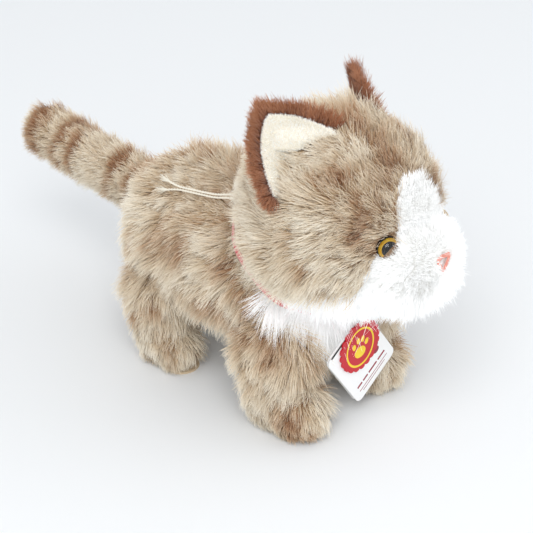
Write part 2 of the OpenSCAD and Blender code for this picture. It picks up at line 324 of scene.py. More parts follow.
def make_skins():
    skins = {}
    skins["torso"] = moulded("body_skin", [(CHEST, BODY_R), (RUMP, BODY_R)],
                             [(CHEST, RUMP, BODY_R)])
    cheeks = [(ON_HEAD @ cheek, MUZZLE_R) for cheek in CHEEKS]
    skins["head"] = moulded("head_skin", [(HEAD_AT, HEAD_R)] + cheeks, [], soften=6)
    tail_end = TAIL_ROOT + tail_way * TAIL_L
    plump = TAIL_R + 0.0015
    skins["tail"] = moulded("tail_skin_cloth", [(TAIL_ROOT, TAIL_R), (tail_end, plump)],
                            [(TAIL_ROOT, tail_end, plump)])
    for pair, (shank_y, paw_front, paw_back) in LEGS.items():
        slim = SLIM[pair]
        paw_r = slim * PAW_R
        paw_z = PAW_Z - (1 - slim) * PAW_R
        for side, s in SIDES.items():
            hip = joint_at[f"{pair}_leg_swing_{side}"]
            x = s * LEG_X
            shank_low = Vector((x, shank_y, PAW_Z))
            shank_top = Vector((x, shank_y, hip.z))
            toe = Vector((x, paw_front, paw_z))
            heel = Vector((x, paw_back, paw_z))
            skins[f"{pair}_leg_{side}"] = moulded(
                f"{pair}_leg_skin_cloth_{side}",
                [(hip, slim * HIP_R), (toe, paw_r), (heel, paw_r)],
                [(shank_low, shank_top, slim * SHANK_R, slim * (HIP_R - 0.001)),
                 (toe, heel, paw_r)], floor=SOLE_TOP)
    return skins


skins = make_skins()

# %% [markdown]
# ## Which way the pile lies
#
# Pile is woven to lie in one direction, and the maker cuts each panel so that it runs from
# nose to tail and from the back down. The direction, length and colour are worked out once
# for each point of a skin and kept on it as attributes. The nodes that grow the fibres
# read them by name, so the rules stay here in one place, in plain arithmetic.


# %% Colour and direction rules
def clouds(p, size, seed=0.0):
    """Smooth noise from about -1 to 1, with marks about that size."""
    return noise.noise(p / size + Vector((seed, seed * 1.7, -seed)))


def smoothstep(low, high, value):
    t = min(max((value - low) / (high - low), 0), 1)
    return t * t * (3 - 2 * t)


def tangent(direction, normal):
    flat = direction - normal * direction.dot(normal)
    return flat.normalized() if flat.length > 1e-6 else Vector((0, 1, 0))


DOWN = Vector((0, 0, -1))
BACKWARD = Vector((0, 1, 0))


def swirl(p, size, amount):
    """A smooth sideways wander, so that the pile never lies in quite one direction."""
    return amount * Vector((clouds(p, size, 21), clouds(p, size, 33), clouds(p, size, 47)))


def under_twine(p):
    """How much the loose twine presses the pile down, from 0 to 1."""
    near = min((p - q).length for line in ROUTES.values() for q in line)
    return smoothstep(0.016, 0.010, near)


def body_rule(p):
    side = abs(p.x) / BODY_R
    way = BACKWARD * 0.75 + DOWN * (0.2 + 0.75 * side) + swirl(p, 0.019, 0.8)
    tone = 0.44 + 0.85 * clouds(p, 0.017, 3) + 0.40 * clouds(p, 0.007, 5)
    rump = smoothstep(0.020, 0.045, p.y)
    collar = smoothstep(0.064, 0.054, (p - HEAD_AT).length)
    long = 1.0 - 0.22 * rump - 0.50 * collar
    return way, long * (1 - 0.5 * under_twine(p)), tone


def bib_rule(p):
    outward = Vector((p.x / BIB_HALF_W, 0, 0))
    way = DOWN + BACKWARD * 0.1 + outward * 0.5 + swirl(p, 0.015, 0.4)
    return way, 1.25, 0.4 + 0.2 * clouds(p, 0.01, 2)


def leg_rule(p):
    low = smoothstep(0.030, 0.010, p.z)
    outward = Vector((1 if p.x > 0 else -1, 0, 0))
    way = DOWN + BACKWARD * (0.25 - 0.5 * low) + outward * 0.15 + swirl(p, 0.016, 0.75)
    tone = 0.46 + 0.85 * clouds(p, 0.016, 8) + 0.35 * clouds(p, 0.006, 9) - 0.14 * low
    return way, 0.86 - 0.44 * low, tone


# each tail band: its place along the tail and half its width
BANDS = ((0.005, 0.003), (0.019, 0.003), (0.051, 0.0035), (0.062, 0.0035), (0.084, 0.007))


def tail_rule(p):
    along = (p - TAIL_ROOT).dot(tail_way)
    wobble = 0.004 * clouds(p, 0.012, 4)
    band = max(math.exp(-((along + wobble - at) / wide) ** 2) for at, wide in BANDS)
    tone = 0.16 + 0.85 * band + 0.25 * clouds(p, 0.010, 6)
    return tail_way + swirl(p, 0.014, 0.35), 1.0, tone


NOSE = Vector((0, -0.060, -0.009))
EAR_FRONT = Vector((0.026, -0.008, 0.038))
EAR_CLEARING = 0.020


def head_rule(p):
    q = ON_HEAD.inverted() @ p
    turn = ON_HEAD.to_3x3()
    away = (q - NOSE).normalized()
    cheek = smoothstep(0.006, -0.030, q.z)
    way = turn @ (away * 0.9 + DOWN * 0.9 * cheek + BACKWARD * 0.2) + swirl(p, 0.017, 0.75)
    patch = 0.60 * clouds(q, 0.018, 11) + 0.4 * clouds(q, 0.007, 12)
    crown = smoothstep(0.012, 0.030, q.z) * smoothstep(0.015, -0.020, q.y)
    tone = 0.27 + patch + 0.42 * crown * max(0.0, clouds(q, 0.015, 14) + 0.15)
    long = 0.55 + 0.45 * smoothstep(-0.036, -0.004, q.y) + 0.1 * cheek
    nape = smoothstep(0.25, 0.75, (p - HEAD_AT).normalized().dot(NECK_AXIS))
    back = smoothstep(0.0, 0.040, q.y)
    mirrored = Vector((abs(q.x), q.y, q.z))
    ear = smoothstep(EAR_CLEARING, 0.008, (mirrored - EAR_FRONT).length)
    return way, long * (1 - 0.45 * max(nape, back, ear)), tone



def chin_rule(p):
    return DOWN * 0.9 + BACKWARD * 0.15 + swirl(p, 0.012, 0.4), 0.85, 0.4


def muzzle_rule(p):
    q = ON_HEAD.inverted() @ p
    away = (q - NOSE).normalized()
    low = smoothstep(-0.012, -0.030, q.z)
    way = ON_HEAD.to_3x3() @ (away + DOWN * 0.9 * low + Vector((0, 0, 0.1)))
    return way + swirl(p, 0.008, 0.5), 1.0 + 1.3 * low, 0.5 + 0.3 * clouds(q, 0.01, 9)


# %% Regions of the skins
BELLY_TOP = 0.042
BELLY_FRONT = -0.066
BIB_HALF_W = 0.034
BIB_TOP = 0.091
BIB_SLANT = 0.21
CHIN_TOP = -0.024
CHIN_HALF_W = 0.037
GUSSET_HALF_W = 0.015
# the white blaze: heights on the face and half its width at each
BLAZE = ((0.028, 0.006), (0.026, 0.0095), (0.020, 0.013), (0.013, 0.0150), (0.000, 0.0158),
         (-0.008, 0.018), (-0.016, 0.026), (-0.028, 0.028))
HEAD_CLEAR = HEAD_R + 0.0035


def blaze_half_width(z):
    if z > BLAZE[0][0]:
        return 0.0
    for (z0, w0), (z1, w1) in zip(BLAZE, BLAZE[1:]):
        if z >= z1:
            return w1 + (w0 - w1) * (z - z1) / (z0 - z1)
    return BLAZE[-1][1]


def body_region(p):
    if (p - HEAD_AT).length < HEAD_CLEAR:
        return None
    for name, at in joint_at.items():
        if "leg_swing" in name and (p - at).length < HIP_R - 0.001:
            return None
    if (p - TAIL_ROOT).length < TAIL_R - 0.001:
        return None
    bib_back = -0.0625 - BIB_SLANT * (BIB_TOP - p.z)
    if p.y < bib_back and abs(p.x) < BIB_HALF_W and p.z < BIB_TOP:
        return "bib"
    if p.z < BELLY_TOP and p.y > BELLY_FRONT:
        return "belly"
    return "left" if p.x > 0 else "right"


def on_muzzle(q):
    near = min((q - cheek).length for cheek in CHEEKS)
    return near < MUZZLE_R + 0.0012 and q.y < -0.024


EYES = {side: Vector((s * math.sin(EYE_ANGLE) * HEAD_R, -math.cos(EYE_ANGLE) * HEAD_R, EYE_UP))
        for side, s in SIDES.items()}
NECK_AXIS = (CHEST + Vector((0, 0, 0.001)) - HEAD_AT).normalized()


NOSE_UP = -0.009
NOSE_HALF_W = 0.006
NOSE_H = 0.0085


def nose_distance(q):
    """How far a point in front of the face is outside the nose, a triangle that points down."""
    x, z = abs(q.x), q.z - NOSE_UP
    slope = Vector((NOSE_H, NOSE_HALF_W)).normalized()
    return max(z - NOSE_H / 2, x * slope.x - (z + NOSE_H / 2) * slope.y)


def head_region(p):
    q = ON_HEAD.inverted() @ p
    if (p - HEAD_AT).normalized().dot(NECK_AXIS) > 0.86:
        return None
    if min((q - eye).length for eye in EYES.values()) < EYE_R + 0.0004:
        return None
    if nose_distance(q) < 0.0006 and q.y < -0.045:
        return "nose"
    if on_muzzle(q) or (q.y < 0 and abs(q.x) < blaze_half_width(q.z) and q.z > CHIN_TOP):
        return "muzzle"
    if q.z < CHIN_TOP and abs(q.x) < CHIN_HALF_W and q.y < 0.004:
        return "chin"
    if abs(q.x) < GUSSET_HALF_W and (q.z > BLAZE[1][0] or (q.y > 0 and q.z > 0)):
        return "crown"
    return "left" if q.x > 0 else "right"


def leg_region(p):
    inside = (p - CHEST).dot(BACKWARD) > -0.002 and p.y < RUMP.y
    axis = Vector((0, p.y, CHEST.z))
    if inside and (p - axis).length < BODY_R + 0.001:
        return None
    if p.z < 0.0022:
        return None
    return "leg"


def tail_region(p):
    return None if (p - TAIL_ROOT).dot(tail_way) < 0.001 else "tail"


# %% Write the rules onto the skins
PALE_PANELS = ("muzzle", "nose", "chin", "bib")


def comb_skin(skin, region_of, rules):
    """Keeps, for each vertex, its panel, the lie of its pile, its length and its tone."""
    mesh = skin.data
    count = len(mesh.vertices)
    names = sorted(rules)
    masks = {name: [0.0] * count for name in names}
    combs = [0.0] * (3 * count)
    lengths = [1.0] * count
    tones = [0.5] * count
    pale = [0.0] * count
    for i, vertex in enumerate(mesh.vertices):
        p, n = vertex.co, vertex.normal
        region = region_of(p)
        pale[i] = 1.0 if region in PALE_PANELS else 0.0
        if region not in rules:
            continue
        way, length, tone = rules[region](p)
        comb = tangent(way, n)
        masks[region][i] = 1.0
        combs[3 * i:3 * i + 3] = comb
        lengths[i] = length
        tones[i] = tone
    for name in names:
        mesh.attributes.new("in_" + name, "FLOAT", "POINT").data.foreach_set("value", masks[name])
    mesh.attributes.new("comb", "FLOAT_VECTOR", "POINT").data.foreach_set("vector", combs)
    mesh.attributes.new("long", "FLOAT", "POINT").data.foreach_set("value", lengths)
    mesh.attributes.new("tone", "FLOAT", "POINT").data.foreach_set("value", tones)
    mesh.attributes.new("pale", "FLOAT", "POINT").data.foreach_set("value", pale)


body_rules = {"left": body_rule, "right": body_rule, "belly": body_rule, "bib": bib_rule}
head_rules = {"left": head_rule, "right": head_rule, "crown": head_rule, "chin": chin_rule,
              "muzzle": muzzle_rule}
comb_skin(skins["torso"], body_region, body_rules)
comb_skin(skins["head"], head_region, head_rules)
comb_skin(skins["tail"], tail_region, {"tail": tail_rule})
for pair in LEGS:
    for side in SIDES:
        comb_skin(skins[f"{pair}_leg_{side}"], leg_region, {"leg": leg_rule})

# %% [markdown]
# ## Growing the pile
#
# One node tree grows every pile on the toy. It scatters roots over a panel, stands one thin
# blade on each, bends the blade from the skin's normal into the comb direction, and draws
# neighbouring tips together so that they clump as real fibres do. Each blade also gets a
# UV chart of its own: across the chart is its tone and up the chart is root to tip. One
# small colour chart then colours every fibre of a panel.

# %% The pile tree
BLADE_STEPS = 4
WORK_NAMES = ("blade_n", "blade_root", "blade_pull", "blade_rnd", "blade_tuft", "blade_t",
              "blade_side", "comb", "long", "tone", "pale")


def named(graph, name, kind="FLOAT"):
    made = graph.node("GeometryNodeInputNamedAttribute", {"Name": name}, data_type=kind)
    return made.outputs["Attribute"]


def store(graph, geometry, name, value, kind="FLOAT", domain="POINT"):
    made = graph.node("GeometryNodeStoreNamedAttribute",
                      {"Geometry": geometry, "Name": name}, data_type=kind, domain=domain)
    graph.feed(made.inputs["Value"], value)
    return made.outputs["Geometry"]


PILE_INPUTS = (("Fibres per m2", "Float", 2e6), ("Tufts per m2", "Float", 8e4),
               ("Length", "Float", 0.015), ("Width", "Float", 0.0004),
               ("Lift", "Float", 0.8), ("Lean", "Float", 0.7), ("Droop", "Float", 0.15),
               ("Spread", "Float", 0.15), ("Clump", "Float", 0.6), ("Tousle", "Float", 0.25),
               ("Seed", "Int", 1),
               ("Panel", "String", "in_left"), ("Material", "Material", None))


def make_pile_tree():
    tree = bpy.data.node_groups.new("grow_pile", "GeometryNodeTree")
    face = tree.interface
    face.new_socket("Geometry", in_out="INPUT", socket_type="NodeSocketGeometry")
    for label, kind, default in PILE_INPUTS:
        socket = face.new_socket(label, in_out="INPUT", socket_type="NodeSocket" + kind)
        if default is not None:
            socket.default_value = default
    face.new_socket("Geometry", in_out="OUTPUT", socket_type="NodeSocketGeometry")
    g = Graph(tree)
    given = g.node("NodeGroupInput").outputs
    panel = named(g, given["Panel"])
    skin = given["Geometry"]

    def scattered(density, seed):
        thick = g.maths("MULTIPLY", density, panel)
        return g.node("GeometryNodeDistributePointsOnFaces",
                      {"Mesh": skin, "Density": thick, "Seed": seed},
                      distribute_method="RANDOM")

    roots = scattered(given["Fibres per m2"], given["Seed"])
    tufts = scattered(given["Tufts per m2"], g.maths("ADD", given["Seed"], 100.0))
    here = g.node("GeometryNodeInputPosition").outputs[0]
    nearest = g.node("GeometryNodeSampleNearest", {"Geometry": tufts.outputs["Points"]},
                     domain="POINT").outputs["Index"]
    tuft_at = g.node("GeometryNodeSampleIndex", {"Geometry": tufts.outputs["Points"],
                     "Value": here, "Index": nearest}, data_type="FLOAT_VECTOR").outputs["Value"]
    points = roots.outputs["Points"]
    points = store(g, points, "blade_n", roots.outputs["Normal"], "FLOAT_VECTOR")
    points = store(g, points, "blade_root", here, "FLOAT_VECTOR")
    points = store(g, points, "blade_pull", g.vector("SUBTRACT", tuft_at, here), "FLOAT_VECTOR")
    chance = g.node("FunctionNodeRandomValue", {0: (-1, -1, -1), 1: (1, 1, 1),
                    "Seed": given["Seed"]}, data_type="FLOAT_VECTOR").outputs[0]
    points = store(g, points, "blade_rnd", chance, "FLOAT_VECTOR")
    tuft_way = g.node("FunctionNodeRandomValue", {0: (-1, -1, -1), 1: (1, 1, 1), "ID": nearest,
                      "Seed": given["Seed"]}, data_type="FLOAT_VECTOR").outputs[0]
    points = store(g, points, "blade_tuft", tuft_way, "FLOAT_VECTOR")

    blade = g.node("GeometryNodeMeshGrid", {"Size X": 1.0, "Size Y": 1.0, "Vertices X": 2,
                   "Vertices Y": BLADE_STEPS})
    chart = g.node("ShaderNodeSeparateXYZ", {0: blade.outputs["UV Map"]}).outputs
    strip = store(g, blade.outputs["Mesh"], "blade_side", g.maths("SUBTRACT", chart[0], 0.5))
    strip = store(g, strip, "blade_t", chart[1])
    fibres = g.node("GeometryNodeInstanceOnPoints", {"Points": points, "Instance": strip})
    fibres = g.node("GeometryNodeRealizeInstances", {0: fibres.outputs[0]}).outputs[0]

    t = named(g, "blade_t")
    across = named(g, "blade_side")
    n = named(g, "blade_n", "FLOAT_VECTOR")
    comb = named(g, "comb", "FLOAT_VECTOR")
    rnd = named(g, "blade_rnd", "FLOAT_VECTOR")
    parts = g.node("ShaderNodeSeparateXYZ", {0: rnd}).outputs
    tuft = named(g, "blade_tuft", "FLOAT_VECTOR")
    mix = g.node("ShaderNodeSeparateXYZ", {0: tuft}).outputs[0]
    t2 = g.maths("MULTIPLY", t, t)
    fibre_l = g.maths("MULTIPLY", given["Length"], named(g, "long"))
    fibre_l = g.maths("MULTIPLY", fibre_l, g.maths("MULTIPLY_ADD", parts[0], 0.18, 0.82))
    rise = g.maths("MULTIPLY", given["Lift"], g.maths("MULTIPLY_ADD", t2, -0.45, t))
    run = g.maths("MULTIPLY_ADD", t2, 0.45, g.maths("MULTIPLY", t, 0.55))
    run = g.maths("MULTIPLY", given["Lean"], run)
    fall = g.maths("MULTIPLY", given["Droop"], t2)
    loose = g.maths("MULTIPLY", given["Spread"], t)
    sway = g.maths("MULTIPLY", given["Tousle"], g.maths("POWER", t, 1.5))
    bend = g.summed(g.scaled(n, rise), g.scaled(comb, run), g.scaled(rnd, loose),
                    g.scaled(tuft, sway), g.scaled((0, 0, -1), fall))
    draw = g.maths("MULTIPLY", given["Clump"], g.maths("POWER", t, 1.4))
    line = g.summed(named(g, "blade_root", "FLOAT_VECTOR"), g.scaled(bend, fibre_l),
                    g.scaled(named(g, "blade_pull", "FLOAT_VECTOR"), draw))
    flat = g.vector("NORMALIZE", g.vector("CROSS_PRODUCT", comb, n))
    twist = g.maths("MULTIPLY", parts[1], 0.8)
    wide = g.summed(g.scaled(flat, g.maths("COSINE", twist)), g.scaled(n, g.maths("SINE", twist)))
    taper = g.maths("MULTIPLY_ADD", t2, -0.8, 1.0)
    half = g.maths("MULTIPLY", g.maths("MULTIPLY", across, given["Width"]), taper)
    place = g.vector("ADD", line, g.scaled(wide, half))
    place = g.vector("MAXIMUM", place, (-9, -9, 0.0004))
    fibres = g.node("GeometryNodeSetPosition", {"Geometry": fibres, "Position": place}).outputs[0]

    tone = g.maths("MULTIPLY_ADD", parts[2], 0.10, named(g, "tone"))
    tone = g.maths("MULTIPLY_ADD", mix, 0.10, tone)
    tone = g.node("ShaderNodeClamp", {"Value": tone, "Min": 0.03, "Max": 0.97}).outputs[0]
    tone = g.maths("MULTIPLY_ADD", across, 0.04, tone)
    spot = g.node("ShaderNodeCombineXYZ", {"X": tone, "Y": t}).outputs[0]
    fibres = store(g, fibres, "OFBake", spot, "FLOAT2", "CORNER")
    fibres = g.node("GeometryNodeSetMaterial", {"Geometry": fibres,
                    "Material": given["Material"]}).outputs[0]
    g.node("NodeGroupOutput", {"Geometry": fibres})
    return tree


pile_tree = make_pile_tree()


def set_inputs(modifier, **values):
    """Sets a node modifier's inputs by their labels, through their identifiers."""
    for item in modifier.node_group.interface.items_tree:
        key = item.name.replace(" ", "_").lower()
        if item.item_type == "SOCKET" and item.in_out == "INPUT" and key in values:
            modifier[item.identifier] = values[key]


def grow_pile(name, skin, panel, material, **settings):
    """The pile of one panel, as a plain mesh."""
    ob = new_object(name, skin.data.copy())
    grower = ob.modifiers.new("grow", "NODES")
    grower.node_group = pile_tree
    set_inputs(grower, panel="in_" + panel, material=material, **settings)
    applied(ob)
    kept = ob.data.attributes
    for key in [a.name for a in kept if a.name in WORK_NAMES or a.name.startswith("in_")]:
        kept.remove(kept[key])
    ob.data.shade_smooth()
    print(name, len(ob.data.polygons) * 2, "triangles")
    return ob


# %% [markdown]
# ## Pile colours
#
# Every fibre is darker at the root and pale at the tip, as frosted plush is. The tone picks
# between a cream fibre, a taupe one and a brown one. The shader reads the fibre's own UV
# chart, so the colour stays on the fibre wherever the part moves.

# %% Pile materials
FUR_SHEEN = 0.25


def pile_material(name, root, middle, tip, sheen=FUR_SHEEN, painted_glow=0.0):
    """Each of root, middle and tip is a list of (tone, colour) stops. glow is painted light: an
    emission that makes a fibre brighter than the lamps alone light it, making up for the shade that
    the pile casts on itself."""
    material, g, shader = new_material(name)
    chart = g.node("ShaderNodeUVMap", uv_map="OFBake").outputs[0]
    tone, along, _ = g.node("ShaderNodeSeparateXYZ", {0: chart}).outputs
    root_c, middle_c, tip_c = (ramp(g, tone, stops) for stops in (root, middle, tip))
    low = g.node("ShaderNodeMapRange", {0: along, 1: 0.0, 2: 0.5, 3: 0.0, 4: 1.0}).outputs[0]
    high = g.node("ShaderNodeMapRange", {0: along, 1: 0.45, 2: 1.0, 3: 0.0, 4: 1.0}).outputs[0]
    first = g.node("ShaderNodeMix", {0: low, 6: root_c, 7: middle_c}, data_type="RGBA").outputs[2]
    both = g.node("ShaderNodeMix", {0: high, 6: first, 7: tip_c}, data_type="RGBA").outputs[2]
    g.feed(shader.inputs["Base Color"], both)
    shader.inputs["Roughness"].default_value = 0.8
    shader.inputs["Specular IOR Level"].default_value = 0.2
    shader.inputs["Sheen Weight"].default_value = sheen
    shader.inputs["Sheen Roughness"].default_value = 0.5
    # painted light: an emission that lifts the fibres brighter than the lamps make them
    if painted_glow:
        shader.inputs["Emission Color"].default_value = (0.96, 0.98, 1, 1)
        shader.inputs["Emission Strength"].default_value = painted_glow
    return material


tabby = pile_material(
    "tabby_pile",
    root=[(0.0, rgb(206, 180, 148)), (0.5, rgb(172, 138, 104)), (1.0, rgb(116, 76, 48))],
    middle=[(0.0, rgb(236, 222, 198)), (0.45, rgb(212, 188, 154)), (0.75, rgb(178, 136, 98)),
            (1.0, rgb(138, 90, 58))],
    tip=[(0.0, rgb(252, 246, 232)), (0.5, rgb(244, 232, 210)), (0.8, rgb(226, 202, 172)),
         (1.0, rgb(190, 148, 112))])
# The white pile's glow is painted light, an emission that brightens it beyond what the lamps give.
white = pile_material(
    "white_pile",
    root=[(0.0, rgb(240, 239, 236)), (1.0, rgb(232, 230, 224))],
    middle=[(0.0, rgb(252, 252, 252)), (1.0, rgb(247, 247, 245))],
    tip=[(0.0, rgb(255, 255, 255)), (1.0, rgb(252, 252, 251))], sheen=0.4, painted_glow=0.13)
rust = pile_material(
    "rust_pile",
    root=[(0.0, rgb(116, 62, 36)), (1.0, rgb(80, 38, 20))],
    middle=[(0.0, rgb(170, 108, 74)), (1.0, rgb(130, 72, 44))],
    tip=[(0.0, rgb(206, 152, 116)), (1.0, rgb(164, 104, 70))])
# The cream plush's glow is painted light, an emission that brightens it beyond what the lamps give.
cream = pile_material(
    "cream_plush",
    root=[(0.0, rgb(250, 246, 236)), (1.0, rgb(244, 238, 222))],
    middle=[(0.0, rgb(255, 253, 247)), (1.0, rgb(252, 248, 238))],
    tip=[(0.0, rgb(255, 255, 252)), (1.0, rgb(254, 252, 246))], painted_glow=0.07)


def cloth_material(name, colour, other, size=0.006):
    """The woven backing that shows between fibres, paler under the white panels."""
    material, g, shader = new_material(name)
    place = g.node("ShaderNodeTexCoord").outputs["Object"]
    patches = g.node("ShaderNodeTexNoise", {"Vector": place, "Scale": 1 / size}).outputs[0]
    dark = ramp(g, patches, [(0.35, colour), (0.65, other)])
    pale = g.node("ShaderNodeAttribute", attribute_name="pale").outputs["Fac"]
    both = g.node("ShaderNodeMix", {0: pale, 6: dark, 7: (*rgb(244, 243, 240), 1)},
                  data_type="RGBA").outputs[2]
    g.feed(shader.inputs["Base Color"], both)
    shader.inputs["Roughness"].default_value = 0.95
    return material


tabby_cloth = cloth_material("tabby_backing", rgb(166, 134, 102), rgb(136, 102, 72))

# %% Skins take their places
body_nodes = {
    "torso": ["body_side_left", "body_side_right", "belly_panel", "chest_bib", "body_stuffing"],
    "head": ["head_side_left", "head_side_right", "crown_gusset", "muzzle_panel", "chin_panel",
             "head_stuffing"],
    "tail": ["tail_skin", "tail_stuffing"],
}
for pair in LEGS:
    for side in SIDES:
        body_nodes[f"{pair}_leg_{side}"] = [f"{pair}_leg_skin_{side}",
                                            f"{pair}_leg_stuffing_{side}"]

# %% Grow every panel
FIBRES = 3.0e6
LONG = dict(fibres_per_m2=FIBRES, tufts_per_m2=6.5e4, length=0.0155, width=0.00034, lift=0.62,
            lean=0.66, droop=0.15, spread=0.36, clump=0.28, tousle=0.34)
FLUFF = dict(fibres_per_m2=2.5 * FIBRES, tufts_per_m2=3e5, length=0.0068, width=0.00036,
             lift=0.92, lean=0.30, droop=0.05, spread=0.30, clump=0.14, tousle=0.16)


def panel_pile(name, body, panel, material, slot, seed, base, **changes):
    settings = {**base, **changes}
    ob = grow_pile(name, skins[body], panel, material, seed=seed, **settings)
    return finish_piece(ob, body)


panel_pile("body_pile_left", "torso", "left", tabby, "tabby_pile", 1, LONG)
panel_pile("body_pile_right", "torso", "right", tabby, "tabby_pile", 2, LONG)
panel_pile("belly_pile", "torso", "belly", tabby, "tabby_pile", 3, LONG)
panel_pile("bib_pile", "torso", "bib", white, "white_pile", 4, LONG, lift=0.78)
panel_pile("head_pile_left", "head", "left", tabby, "tabby_pile", 5, LONG)
panel_pile("head_pile_right", "head", "right", tabby, "tabby_pile", 6, LONG)
panel_pile("crown_pile", "head", "crown", tabby, "tabby_pile", 7, LONG)
panel_pile("chin_pile", "head", "chin", white, "white_pile", 8, LONG)
panel_pile("muzzle_pile", "head", "muzzle", white, "white_short_pile", 9, FLUFF)
panel_pile("tail_pile", "tail", "tail", tabby, "tabby_pile", 10, LONG, length=0.0105, lift=0.75,
           lean=0.62, tousle=0.22, fibres_per_m2=1.35 * FIBRES)
for k, (pair, side) in enumerate((p, s) for p in LEGS for s in SIDES):
    panel_pile(f"{pair}_leg_pile_{side}", f"{pair}_leg_{side}", "leg", tabby, "tabby_pile",
               11 + k, LONG)

for body, skin in skins.items():
    finish_piece(skin, body, tabby_cloth, body_nodes[body])

# %% [markdown]
# ## Ears
#
# An ear is two curved layers: a furry back whose fibres stand out all round the rim, and a
# cream plush lining set in from the edge, with a soft fold near its inner corner. The
# layers are drawn on the ear's own axes (x from the inner edge to the outer, y up, z to the
# front) and then placed on the head. The right ear is the left one mirrored.

# %% Ear shapes
EAR_SEAM = Vector((0.0285, 0.005, 0.0305))
EAR_TURN = Euler((math.radians(63), math.radians(37), math.radians(16))).to_matrix().to_4x4()
EAR_HALF_W = 0.023
EAR_H = 0.029
EAR_TIP_X = -0.005
EAR_CURVE_Z = 0.038
EAR_SHARP = 0.45
EAR_GAP_R = HEAD_R + 0.0018
EAR_COLS = 56
EAR_ROWS = 48


def ear_matrix(side):
    mirror = Matrix.Diagonal((SIDES[side], 1, 1, 1))
    return ON_HEAD @ mirror @ Matrix.Translation(EAR_SEAM) @ EAR_TURN


def ear_reach(y, inset):
    """The inner and outer ends of the ear's outline at one height."""
    tip_in, tip_out = EAR_HALF_W + EAR_TIP_X, EAR_HALF_W - EAR_TIP_X
    in_c = (EAR_H ** 2 / tip_in - tip_in) / 2 + EAR_TIP_X
    out_c = EAR_TIP_X - (EAR_H ** 2 / tip_out - tip_out) / 2
    in_r, out_r = in_c + EAR_HALF_W - inset, EAR_HALF_W - out_c - inset
    inner = in_c - math.sqrt(max(in_r ** 2 - y * y, 0))
    outer = out_c + math.sqrt(max(out_r ** 2 - y * y, 0))
    rise = max(y, 0) / (EAR_H - inset)
    straight_in = (inset - EAR_HALF_W) * (1 - rise) + EAR_TIP_X * rise
    straight_out = (EAR_HALF_W - inset) * (1 - rise) + EAR_TIP_X * rise
    return (inner + (straight_in - inner) * EAR_SHARP, outer + (straight_out - outer) * EAR_SHARP)


def ear_top(inset):
    """The height at which the outline's two sides meet."""
    low, high = 0.0, EAR_H
    for _ in range(30):
        mid = (low + high) / 2
        inner, outer = ear_reach(mid, inset)
        low, high = (mid, high) if inner < outer else (low, mid)
    return low


def ear_fold(x, y):
    """How far the lining's fold stands out: a soft band with one crisp edge, near the base."""
    beyond = (y - 0.0085 - x) / math.sqrt(2)
    up = (x + y) / math.sqrt(2)
    band = smoothstep(-0.0005, 0.0006, beyond) * smoothstep(0.012, 0.003, beyond)
    return 0.0038 * band * smoothstep(0.0135, 0.0080, up)


def ear_sheet(side, radius, inset, folded=False):
    """Rows of points over one face of an ear layer, from the base to the tip."""
    place = ear_matrix(side)
    top = ear_top(inset)
    rows = []
    for j in range(EAR_ROWS + 1):
        y = -0.004 + inset + (top + 0.004 - inset) * j / EAR_ROWS
        inner, outer = ear_reach(y, inset)
        row = []
        for i in range(EAR_COLS + 1):
            x = inner + (outer - inner) * i / EAR_COLS
            z = EAR_CURVE_Z - math.sqrt(radius ** 2 - x * x)
            if folded:
                z += ear_fold(x, y)
            row.append(place @ Vector((x, y, z)))
        rows.append(row)
    return rows


def ear_layer(name, side, back_r, front_r, inset, folded=False):
    """A closed layer between two faces, cut off where it meets the head."""
    bm = bmesh.new()
    faces = [ear_sheet(side, back_r, inset), ear_sheet(side, front_r, inset, folded)]
    grids = [[[bm.verts.new(p) for p in row] for row in rows] for rows in faces]
    for grid in grids:
        for low, high in zip(grid, grid[1:]):
            for i in range(EAR_COLS):
                bm.faces.new((low[i], low[i + 1], high[i + 1], high[i]))
    back, front = grids
    rim = [row[0] for row in back], [row[0] for row in front]
    far = [row[-1] for row in back], [row[-1] for row in front]
    for one, two in (rim, far, (back[0], front[0]), (back[-1], front[-1])):
        for i in range(len(one) - 1):
            bm.faces.new((one[i], one[i + 1], two[i + 1], two[i]))
    inside = [f for f in bm.faces
              if (f.calc_center_median() - HEAD_AT).length < EAR_GAP_R]
    bmesh.ops.delete(bm, geom=inside, context="FACES")
    bmesh.ops.remove_doubles(bm, verts=bm.verts, dist=1e-5)
    bmesh.ops.recalc_face_normals(bm, faces=bm.faces)
    ear = from_bmesh(name, bm)
    middle = ear_matrix(side) @ Vector((0, 0.012, EAR_CURVE_Z - back_r))
    facing = ear_matrix(side).to_3x3() @ Vector((0, 0, -1))
    nearest = min(ear.data.polygons, key=lambda f: (f.center - middle).length)
    if nearest.normal.dot(facing) < 0:
        ear.data.flip_normals()
    return ear


def comb_ear(ear, side, front_limit):
    """The back's pile runs to the rim; the lining's runs up to the tip."""
    back = ear_matrix(side).inverted()
    turn = ear_matrix(side).to_3x3()

    def region(p):
        q = back @ p
        inner, outer = ear_reach(max(q.y, 0), 0.003)
        behind = q.z < EAR_CURVE_Z - math.sqrt(0.0388 ** 2 - q.x * q.x)
        within = inner < q.x < outer and q.y < ear_top(0.003)
        if front_limit and not behind and within:
            return None
        if not front_limit and q.z < EAR_CURVE_Z - math.sqrt(0.0371 ** 2 - q.x * q.x):
            return None
        return "ear"

    def rule(p):
        q = back @ p
        way = Vector((q.x * 0.9, q.y + 0.004, 0)).normalized()
        tone = 0.35 + 0.35 * clouds(p, 0.010, 17)
        return turn @ way, 1.0, tone

    comb_skin(ear, region, {"ear": rule})


